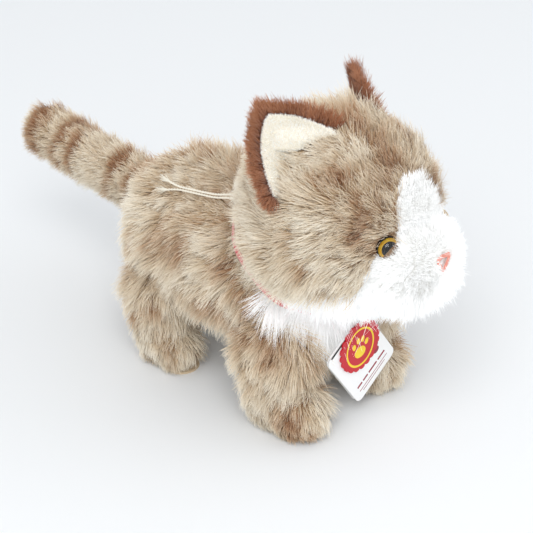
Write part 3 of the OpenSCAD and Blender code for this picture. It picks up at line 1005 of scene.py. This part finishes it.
def make_ears():
    for side in SIDES:
        body = f"ear_{side}"
        back = ear_layer(f"ear_back_cloth_{side}", side, 0.040, 0.0382, 0.0)
        comb_ear(back, side, True)
        pile = grow_pile(f"ear_back_pile_{side}", back, "ear", rust, seed=31, **EAR_PILE)
        finish_piece(pile, body)
        finish_piece(back, body, rust_cloth, [f"ear_back_{side}"])
        lining = ear_layer(f"ear_lining_cloth_{side}", side, 0.0378, 0.0364, 0.003, True)
        comb_ear(lining, side, False)
        plush = grow_pile(f"ear_lining_pile_{side}", lining, "ear", cream, seed=32, **PLUSH)
        finish_piece(plush, body)
        finish_piece(lining, body, cream_cloth, [f"ear_lining_{side}"])


EAR_PILE = dict(fibres_per_m2=2.6 * FIBRES, tufts_per_m2=2e5, length=0.0074, width=0.00034,
                lift=0.42, lean=0.85, droop=0.0, spread=0.34, clump=0.25, tousle=0.2)
PLUSH = dict(fibres_per_m2=4 * FIBRES, tufts_per_m2=2e6, length=0.0017, width=0.00028,
             lift=0.9, lean=0.3, droop=0.0, spread=0.35, clump=0.2, tousle=0.2)
rust_cloth = plain("rust_backing", rgb(96, 52, 30), 0.95, sheen=0.3)
cream_cloth = plain("cream_backing", rgb(244, 238, 222), 0.95, sheen=0.3)
make_ears()

# %% [markdown]
# ## Eyes
#
# A safety eye is a clear moulded dome with paint behind it. The amber iris and the black
# pupil are bonded to the clear plastic, so they sit just inside it. They swell and slide as
# the view moves, as the real ones do.

# %% Eyes
def lathe(name, profile, segments=48, smooth=True):
    """A turned piece round z. A profile end that isn't on the axis is left open."""
    bm = bmesh.new()
    rings = []
    for r, z in profile:
        if r < 1e-7:
            rings.append([bm.verts.new((0, 0, z))])
        else:
            rings.append([bm.verts.new((r * math.cos(2 * math.pi * k / segments),
                                        r * math.sin(2 * math.pi * k / segments), z))
                          for k in range(segments)])
    for one, two in zip(rings, rings[1:]):
        for k in range(segments):
            n = (k + 1) % segments
            if len(one) == 1:
                bm.faces.new((one[0], two[n], two[k]))
            elif len(two) == 1:
                bm.faces.new((one[k], one[n], two[0]))
            else:
                bm.faces.new((one[k], one[n], two[n], two[k]))
    bmesh.ops.recalc_face_normals(bm, faces=bm.faces)
    return from_bmesh(name, bm, smooth)


def eye_matrix(side):
    mirror = Matrix.Diagonal((SIDES[side], 1, 1, 1))
    turn = Euler((math.radians(90), 0, EYE_ANGLE)).to_matrix().to_4x4()
    return ON_HEAD @ mirror @ Matrix.Translation((0, 0, EYE_UP)) @ turn


def placed(ob, matrix):
    """Works a placing into the mesh, and keeps its faces outward when it mirrors."""
    ob.data.transform(matrix)
    if matrix.determinant() < 0:
        ob.data.flip_normals()
    return ob


def clear_material():
    material, _, shader = new_material("clear_dome")
    shader.inputs["Base Color"].default_value = (1, 1, 1, 1)
    shader.inputs["Roughness"].default_value = 0.03
    shader.inputs["IOR"].default_value = 1.49
    shader.inputs["Transmission Weight"].default_value = 1.0
    return material


def amber_material():
    material, g, shader = new_material("amber_paint")
    place = g.node("ShaderNodeTexCoord").outputs["Object"]
    grain = g.node("ShaderNodeTexNoise", {"Vector": place, "Scale": 1400.0}).outputs[0]
    g.feed(shader.inputs["Base Color"],
           ramp(g, grain, [(0.3, rgb(232, 160, 16)), (0.7, rgb(255, 216, 50))]))
    shader.inputs["Roughness"].default_value = 0.35
    return material


EYE_SEAT = 0.048
PUPIL_R = 0.0029
IRIS_R = 0.0049
PAINT_T = 0.0003
PAINT_GAP = 0.00006
# the dark cup's section: radius, and height along the eye's axis
EYE_CUP = ((0, 0.0445), (0.0046, 0.0445), (0.0053, 0.0454), (0.0056, 0.0468),
           (0.0056, 0.0479), (0.0052, 0.0481), (0.0050, 0.0476), (0, 0.0475))


def make_eyes():
    clear, amber = clear_material(), amber_material()
    black = plain("eye_black", rgb(12, 11, 11), 0.18)
    grey = plain("washer_plastic", rgb(228, 228, 222), 0.5)
    for side in SIDES:
        where = eye_matrix(side)
        arc = [(EYE_R * math.cos(a), EYE_SEAT + 0.9 * EYE_R * math.sin(a))
               for a in (math.pi / 2 * k / 16 for k in range(17))]
        dome = lathe(f"eye_clear_{side}", [(0, EYE_SEAT)] + arc[:-1] + [(0, arc[-1][1])])
        finish_piece(placed(dome, where), "head", clear, [f"eye_dome_{side}"])
        low = EYE_SEAT + PAINT_T + PAINT_GAP
        pupil = lathe(f"eye_black_{side}", [(0, low - PAINT_T), (PUPIL_R, low - PAINT_T),
                                            (PUPIL_R, low), (0, low)], smooth=False)
        finish_piece(placed(pupil, where), "head", black,
                     [f"eye_pupil_{side}"])
        iris = lathe(f"eye_amber_{side}", [(PUPIL_R, low - PAINT_T), (IRIS_R, low - PAINT_T),
                                           (IRIS_R, low), (PUPIL_R, low),
                                           (PUPIL_R, low - PAINT_T)], smooth=False)
        finish_piece(placed(iris, where), "head", amber, [f"eye_iris_{side}"])
        cup = lathe(f"eye_cup_{side}", EYE_CUP)
        finish_piece(placed(cup, where), "head", black,
                     [f"eye_back_{side}"])
        paint(frame["nodes"][f"eye_washer_{side}"], grey)


make_eyes()

# %% [markdown]
# ## Nose
#
# The nose is machine embroidery: short satin stitches laid side by side along a rounded
# triangle, each one a tiny rounded bar that follows the muzzle under it.


# %% Nose stitches
def stitch(bm, centre, across, out, length, width):
    """One satin stitch: a low rounded bar."""
    along = out.cross(across).normalized()
    steps, sides = 6, 6
    rings = []
    for i in range(steps + 1):
        u = i / steps - 0.5
        plump = math.sqrt(max(1 - (2 * u) ** 4, 0)) + 0.05
        ring = []
        for k in range(sides):
            a = 2 * math.pi * k / sides
            ring.append(bm.verts.new(centre + across * (u * length)
                        + along * (math.cos(a) * width / 2 * plump)
                        + out * (math.sin(a) * width * 0.6 * plump)))
        rings.append(ring)
    for one, two in zip(rings, rings[1:]):
        for k in range(sides):
            bm.faces.new((one[k], one[(k + 1) % sides], two[(k + 1) % sides], two[k]))
    bm.faces.new(rings[0][::-1])
    bm.faces.new(rings[-1])


def on_muzzle_surface(x, z, rise):
    """The point of the muzzle straight behind (x, z) on the face, and the way out there."""
    best = None
    for centre in CHEEKS:
        gap = (MUZZLE_R + rise) ** 2 - (x - centre.x) ** 2 - (z - centre.z) ** 2
        if gap > 0:
            p = Vector((x, centre.y - math.sqrt(gap), z))
            if best is None or p.y < best[0].y:
                best = (p, (p - centre).normalized())
    return best


STITCH_L = 0.0024
STITCH_W = 0.00055


def make_nose():
    half, up, down = NOSE_HALF_W - 0.0008, NOSE_UP + NOSE_H / 2 - 0.0008, NOSE_UP - NOSE_H / 2
    corners = [Vector((-half, 0, up)), Vector((half, 0, up)), Vector((0, 0, down))]
    bm = bmesh.new()
    for one, two in zip(corners, corners[1:] + corners[:1]):
        count = round((two - one).length / (STITCH_W * 0.85))
        way = (two - one).normalized()
        for i in range(count):
            flat = one.lerp(two, (i + 0.5) / count)
            jitter = 0.0002 * clouds(flat * 1000, 0.7, 3)
            p, out = on_muzzle_surface(flat.x, flat.z, 0.0011)
            across = (Vector((way.z, 0, -way.x)) + way * 0.25)
            across = (across - out * across.dot(out)).normalized()
            stitch(bm, p + across * jitter, across, out, STITCH_L, STITCH_W)
    nose = from_bmesh("nose_stitches", bm)
    nose.data.transform(ON_HEAD)
    pink = plain("nose_thread", rgb(238, 156, 138), 0.55, sheen=0.3)
    finish_piece(nose, "head", pink, ["nose_embroidery"])


make_nose()

# %% [markdown]
# ## Ribbon and twine
#
# A red satin ribbon goes round the neck, and a cream twine of two plies holds the tags and
# runs back over the body in two loose ends. The plies are swept round the twine's own line,
# so the twist is real. Each end is cut bare and has frayed into a small fan of threads.


# %% Sweeps
def smooth_line(points, steps=8):
    """A smooth line through the given points."""
    line = []
    for i in range(len(points) - 1):
        p0, p1 = points[max(i - 1, 0)], points[i]
        p2, p3 = points[i + 1], points[min(i + 2, len(points) - 1)]
        for k in range(steps):
            t = k / steps
            line.append(0.5 * (2 * p1 + (p2 - p0) * t + (2 * p0 - 5 * p1 + 4 * p2 - p3) * t * t
                               + (3 * p1 - p0 - 3 * p2 + p3) * t ** 3))
    return line + [points[-1]]


def line_length(line):
    return sum((b - a).length for a, b in zip(line, line[1:]))


def sweep(bm, line, radius, closed=False, sides=8):
    """A round tube along a line. radius is one number, or one for each point."""
    count = len(line)
    radii = radius if isinstance(radius, list) else [radius] * count
    side = None
    rings = []
    for i, p in enumerate(line):
        before = line[(i - 1) % count] if closed or i > 0 else p
        after = line[(i + 1) % count] if closed or i < count - 1 else p
        way = (after - before).normalized()
        side = way.orthogonal() if side is None else side
        side = (side - way * side.dot(way)).normalized()
        other = way.cross(side)
        rings.append([bm.verts.new(p + radii[i] * (side * math.cos(a) + other * math.sin(a)))
                      for a in (2 * math.pi * k / sides for k in range(sides))])
    pairs = list(zip(rings, rings[1:] + (rings[:1] if closed else [])))
    for one, two in pairs:
        for k in range(sides):
            bm.faces.new((one[k], one[(k + 1) % sides], two[(k + 1) % sides], two[k]))
    if not closed:
        bm.faces.new(rings[0][::-1])
        bm.faces.new(rings[-1])


TWINE_D = 0.0012
PLY_R = 0.00031
PLY_PITCH = 0.0034


def twisted(bm, line, closed=False):
    """Two plies wound round each other along a line."""
    count = len(line)
    for ply in range(2):
        coil, turn, side = [], math.pi * ply, None
        total = line_length(line + line[:1] if closed else line)
        turns = 2 * math.pi * round(total / PLY_PITCH) / total
        for i, p in enumerate(line):
            before = line[(i - 1) % count] if closed or i > 0 else p
            after = line[(i + 1) % count] if closed or i < count - 1 else p
            way = (after - before).normalized()
            side = way.orthogonal() if side is None else side
            side = (side - way * side.dot(way)).normalized()
            other = way.cross(side)
            coil.append(p + (PLY_R - 0.00002) * (side * math.cos(turn) + other * math.sin(turn)))
            turn += turns * (line[(i + 1) % count] - p).length
        sweep(bm, coil, PLY_R, closed, 7)


def finer(line, step):
    """The same line with points about step apart."""
    out = []
    for a, b in zip(line, line[1:]):
        parts = max(1, round((b - a).length / step))
        out += [a.lerp(b, k / parts) for k in range(parts)]
    return out + [line[-1]]


NECK_TILT = Euler((math.radians(34.3), 0, 0)).to_matrix().to_4x4()
ON_NECK = Matrix.Translation(HEAD_AT) @ NECK_TILT
RIBBON_R = 0.0395
RIBBON_LOW = -0.037
RIBBON_W = 0.0055
TWINE_RING_R = 0.040
TWINE_RING_AT = -0.032
KNOT_TURN = math.radians(118)
TUFT_L = 0.006
TUFT_THREADS = 16


def make_ribbon():
    """A satin band with a slow ripple along its edges."""
    bm = bmesh.new()
    around, across, thick = 144, 6, 0.0004
    shells = []
    for layer in (0.0, thick):
        rows = []
        for i in range(around):
            a = 2 * math.pi * i / around
            row = []
            for k in range(across + 1):
                v = k / across
                ripple = 0.0006 * math.sin(7 * a + 1.3) * (2 * v - 1) ** 2
                flare = 0.0012 * v
                r = RIBBON_R + layer + ripple + flare
                z = RIBBON_LOW + RIBBON_W * v + 0.0004 * math.sin(5 * a)
                row.append(bm.verts.new(ON_NECK @ Vector((r * math.cos(a), r * math.sin(a), z))))
            rows.append(row)
        shells.append(rows)
    inner, outer = shells
    for i in range(around):
        n = (i + 1) % around
        for k in range(across):
            bm.faces.new((inner[i][k], inner[i][k + 1], inner[n][k + 1], inner[n][k]))
            bm.faces.new((outer[i][k], outer[n][k], outer[n][k + 1], outer[i][k + 1]))
        for k in (0, across):
            bm.faces.new((inner[i][k], inner[n][k], outer[n][k], outer[i][k]))
    bmesh.ops.recalc_face_normals(bm, faces=bm.faces)
    ribbon = from_bmesh("satin_ribbon", bm)
    red = plain("satin_red", rgb(206, 36, 52), 0.35, sheen=0.4)
    finish_piece(ribbon, "torso", red, ["neck_ribbon"])


def ring_point(angle):
    return ON_NECK @ Vector((TWINE_RING_R * math.cos(angle), TWINE_RING_R * math.sin(angle),
                             TWINE_RING_AT))


def frayed(name, line):
    """Threads that fan out from a cut end."""
    end, way = line[-1], (line[-1] - line[-4]).normalized()
    side = way.orthogonal().normalized()
    other = way.cross(side)
    bm = bmesh.new()
    for k in range(TUFT_THREADS):
        angle = k * 2.399963
        out = 0.0019 * math.sqrt((k + 0.5) / TUFT_THREADS)
        spread = side * math.cos(angle) + other * math.sin(angle)
        long = TUFT_L * (0.78 + 0.22 * math.cos(5.1 * k))
        thread = [end - way * 0.001 + way * (long + 0.001) * t
                  + spread * (out * t ** 1.3 + 0.0003) for t in (0, 0.2, 0.4, 0.6, 0.8, 1.0)]
        sweep(bm, thread, [0.00019, 0.00018, 0.00017, 0.00016, 0.00014, 0.0001], sides=5)
    return from_bmesh(name, bm)


def make_twine():
    cotton = plain("twine_cotton", rgb(244, 238, 222), 0.85, sheen=0.3)
    bm = bmesh.new()
    twisted(bm, [ring_point(2 * math.pi * k / 720) for k in range(720)], closed=True)
    finish_piece(from_bmesh("twine_round_neck", bm), "torso", cotton, ["twine_loop"])
    knot_at = ring_point(KNOT_TURN)
    bm = bmesh.new()
    coil = []
    for k in range(90):
        t = k / 89
        a, b = 4 * math.pi * t, 6 * math.pi * t
        coil.append(knot_at + Vector((0.0013 * math.cos(b) * math.cos(a) ** 2,
                                      0.0013 * math.sin(a), 0.0012 * math.sin(b))))
    sweep(bm, coil, TWINE_D / 2)
    finish_piece(from_bmesh("twine_hitch", bm), "torso", cotton, ["twine_knot"])
    for which, points in ROUTES.items():
        line = finer(smooth_line(points), 0.00022)
        bm = bmesh.new()
        twisted(bm, line)
        end = from_bmesh(f"twine_run_{which}", bm)
        finish_piece(end, "torso", cotton, [f"twine_end_{which}"])
        tuft = frayed(f"twine_fray_{which}", line)
        finish_piece(tuft, "torso", cotton, [f"twine_tuft_{which}"])


make_ribbon()
make_twine()

# %% [markdown]
# ## Tags
#
# Two swing tags hang from one small loop. The front one is a red seal with a scalloped edge
# and a yellow ring, and the back one a folded white card. The marks on both are generic: a
# paw print and a few plain bars stand where a maker would print its name.

# %% Tags
TAG_PIVOT = joint_at["tag_swing"]
SEAL_AT = TAG_PIVOT + Vector((0, -0.0005, -0.023))
SEAL_R = 0.0145
SEAL_T = 0.0008
SCALLOPS = 20
CARD_AT = TAG_PIVOT + Vector((0.0026, 0.0010, -0.0315))
CARD_TURN = math.radians(-35)
CARD_W = 0.033
CARD_H = 0.043
LEAF_T = 0.0004
LEAF_GAP = 0.0005
CARD_CORNER = 0.0035
CARD_SPLAY = math.radians(2.2)
FOLD_W = 0.0012
INK_T = 0.00004
# the card's plain bars: left end, right end, height on the card, thickness
CARD_BARS = ((-0.012, 0.012, -0.0165, 0.0004), (-0.010, 0.009, -0.0182, 0.0004),
             (-0.012, -0.008, -0.0135, 0.0012), (-0.007, -0.003, -0.0135, 0.0012),
             (-0.002, 0.005, -0.0135, 0.0012), (0.006, 0.012, -0.0135, 0.0012))
TAG_LOOP_R = 0.0018
TAG_LOOP_D = 0.0008
TAG_LOOP_H = 0.011


def slab(name, outline, thickness):
    """A flat piece: its outline in (x, z), its back at y 0 and its front at -thickness."""
    bm = bmesh.new()
    front = [bm.verts.new((x, -thickness, z)) for x, z in outline]
    back = [bm.verts.new((x, 0, z)) for x, z in outline]
    bm.faces.new(front)
    bm.faces.new(back[::-1])
    for i in range(len(outline)):
        n = (i + 1) % len(outline)
        bm.faces.new((front[i], back[i], back[n], front[n]))
    bmesh.ops.recalc_face_normals(bm, faces=bm.faces)
    return from_bmesh(name, bm, smooth=False)


def disc(x, z, rx, rz, tilt=0.0, count=40):
    return [(x + rx * math.cos(a) * math.cos(tilt) - rz * math.sin(a) * math.sin(tilt),
             z + rx * math.cos(a) * math.sin(tilt) + rz * math.sin(a) * math.cos(tilt))
            for a in (2 * math.pi * k / count for k in range(count))]


def rounded(w, h, r, count=6):
    outline = []
    for cx, cz, start in ((1, 1, 0), (-1, 1, 90), (-1, -1, 180), (1, -1, 270)):
        for k in range(count + 1):
            a = math.radians(start + 90 * k / count)
            outline.append((cx * (w / 2 - r) + r * math.cos(a), cz * (h / 2 - r) + r * math.sin(a)))
    return outline


def joined(name, parts):
    bm = bmesh.new()
    for part in parts:
        bm.from_mesh(part.data)
        mesh = part.data
        bpy.data.objects.remove(part)
        bpy.data.meshes.remove(mesh)
    return from_bmesh(name, bm, smooth=False)


def ring_strip(name, outline, width, thickness):
    """A printed line that follows a closed outline."""
    bm = bmesh.new()
    inner = [bm.verts.new((x * (1 - width), -thickness, z * (1 - width))) for x, z in outline]
    outer = [bm.verts.new((x, -thickness, z)) for x, z in outline]
    for i in range(len(outline)):
        n = (i + 1) % len(outline)
        bm.faces.new((inner[i], inner[n], outer[n], outer[i]))
    bmesh.ops.recalc_face_normals(bm, faces=bm.faces)
    return from_bmesh(name, bm, smooth=False)


def paw_print(name, size, thickness, x=0.0, z=0.0):
    """A generic paw: one pad and four toes."""
    pieces = [slab("pad", disc(x, z - 0.25 * size, 0.42 * size, 0.34 * size), thickness)]
    for tx, tz in ((-0.48, 0.22), (-0.17, 0.50), (0.17, 0.50), (0.48, 0.22)):
        pieces.append(slab("toe", disc(x + tx * size, z + tz * size, 0.13 * size, 0.19 * size,
                                       -0.5 * tx), thickness))
    return joined(name, pieces)


def make_seal():
    outline = []
    steps = 12
    scallop = SEAL_R * math.sin(math.pi / SCALLOPS) * 1.05
    for k in range(SCALLOPS * steps):
        a = 2 * math.pi * k / (SCALLOPS * steps)
        local = (k % steps) / steps * 2 - 1
        r = SEAL_R - scallop + scallop * math.sqrt(max(1 - 0.8 * local * local, 0))
        outline.append((r * math.cos(a), r * math.sin(a)))
    seal = slab("red_seal", outline, SEAL_T)
    placed(seal, Matrix.Translation(SEAL_AT))
    finish_piece(seal, "tags", plain("seal_red", rgb(200, 10, 36), 0.4),
                 ["seal_tag"])
    oval = disc(0, -0.0006, 0.0102, 0.0112, count=72)
    ring = ring_strip("seal_ring", oval, 0.10, SEAL_T + INK_T)
    paw = paw_print("seal_paw", 0.0095, SEAL_T + INK_T, z=-0.0010)
    yellow = plain("seal_yellow", rgb(250, 214, 40), 0.4)
    for mark in (ring, paw):
        placed(mark, Matrix.Translation(SEAL_AT))
        finish_piece(mark, "tags", yellow)


def make_card():
    white_card = plain("card_white", rgb(250, 250, 249), 0.5)
    wine = plain("card_ink", rgb(150, 42, 60), 0.5)
    turn = Euler((0, CARD_TURN, 0)).to_matrix().to_4x4()
    where = Matrix.Translation(CARD_AT) @ turn
    depth = 2 * LEAF_T + LEAF_GAP
    front = slab("leaf", rounded(CARD_W, CARD_H, CARD_CORNER), LEAF_T)
    front.data.transform(Matrix.Translation((0, -(depth - LEAF_T), 0)))
    back = slab("leaf", rounded(CARD_W, CARD_H, CARD_CORNER), LEAF_T)
    hinge = Vector((0, 0, CARD_H / 2))
    splay = Euler((CARD_SPLAY, 0, 0)).to_matrix().to_4x4()
    back.data.transform(Matrix.Translation(hinge) @ splay @ Matrix.Translation(-hinge))
    end, top = CARD_W / 2 - CARD_CORNER, CARD_H / 2
    fold = slab("fold", [(-end, top - FOLD_W), (end, top - FOLD_W), (end, top), (-end, top)],
                depth)
    card = joined("folded_card", [front, back, fold])
    finish_piece(placed(card, where), "tags", white_card, ["card_tag"])
    ink = depth + INK_T
    bars = [slab("bar", [(x0, z), (x1, z), (x1, z + h), (x0, z + h)], ink)
            for x0, x1, z, h in CARD_BARS]
    bars.append(paw_print("card_paw", 0.0055, ink, x=0.0085, z=-0.0050))
    finish_piece(placed(joined("card_print", bars), where), "tags", wine)


def make_tag_loop():
    top = TAG_PIVOT.z
    foot = TAG_PIVOT.z - TAG_LOOP_H - 0.0006 + TAG_LOOP_R
    line = []
    for k in range(25):
        a = math.pi * k / 24
        line.append(Vector((0, TAG_LOOP_R * math.cos(a), top + TAG_LOOP_R * math.sin(a))))
    for k in range(25):
        a = math.pi + math.pi * k / 24
        line.append(Vector((0, TAG_LOOP_R * math.cos(a), foot + TAG_LOOP_R * math.sin(a))))
    bm = bmesh.new()
    sweep(bm, [p + Vector((0, TAG_PIVOT.y, 0)) for p in line], TAG_LOOP_D / 2, closed=True)
    finish_piece(from_bmesh("tag_string", bm), "tags",
                 plain("tag_cotton", rgb(244, 238, 222), 0.85), ["tag_loop"])


make_seal()
make_card()
make_tag_loop()

# %% [markdown]
# ## Hidden pieces
#
# The soles, the washers and the filling at the neck keep their solids and take a finish, so
# that nothing on the toy is left grey.

# %% Hidden pieces
filling = plain("polyester_filling", rgb(246, 245, 240), 0.95)
paint(frame["nodes"]["neck_stuffing"], filling)
sole_cloth = plain("sole_plush", rgb(214, 192, 160), 0.9)
for pair in LEGS:
    for side in SIDES:
        paint(frame["nodes"][f"{pair}_sole_{side}"], sole_cloth)

# %% Light and floor
def make_stage():
    bm = bmesh.new()
    bmesh.ops.create_grid(bm, x_segments=1, y_segments=1, size=6)
    floor = from_bmesh("floor", bm)
    floor.data.materials.append(plain("floor", rgb(240, 242, 243), 0.9))
    world = bpy.data.worlds.new("studio")
    bpy.context.scene.world = world
    world.use_nodes = True
    world.node_tree.nodes["Background"].inputs["Color"].default_value = (*rgb(250, 252, 255), 1)
    world.node_tree.nodes["Background"].inputs["Strength"].default_value = 0.82
    for name, place, size, power in (("key", (-0.85, -0.72, 1.3), 0.9, 11.0),
                                     ("fill", (0.9, -0.9, 0.8), 1.0, 2.2)):
        light = bpy.data.lights.new(name, "AREA")
        light.size = size
        light.energy = power
        ob = bpy.data.objects.new(name, light)
        bpy.context.scene.collection.objects.link(ob)
        ob.location = place
        aim = CAMERA_TARGET - ob.location
        ob.rotation_mode = "QUATERNION"
        ob.rotation_quaternion = aim.to_track_quat("-Z", "Y")


make_stage()
bpy.context.scene.view_settings.view_transform = "Standard"
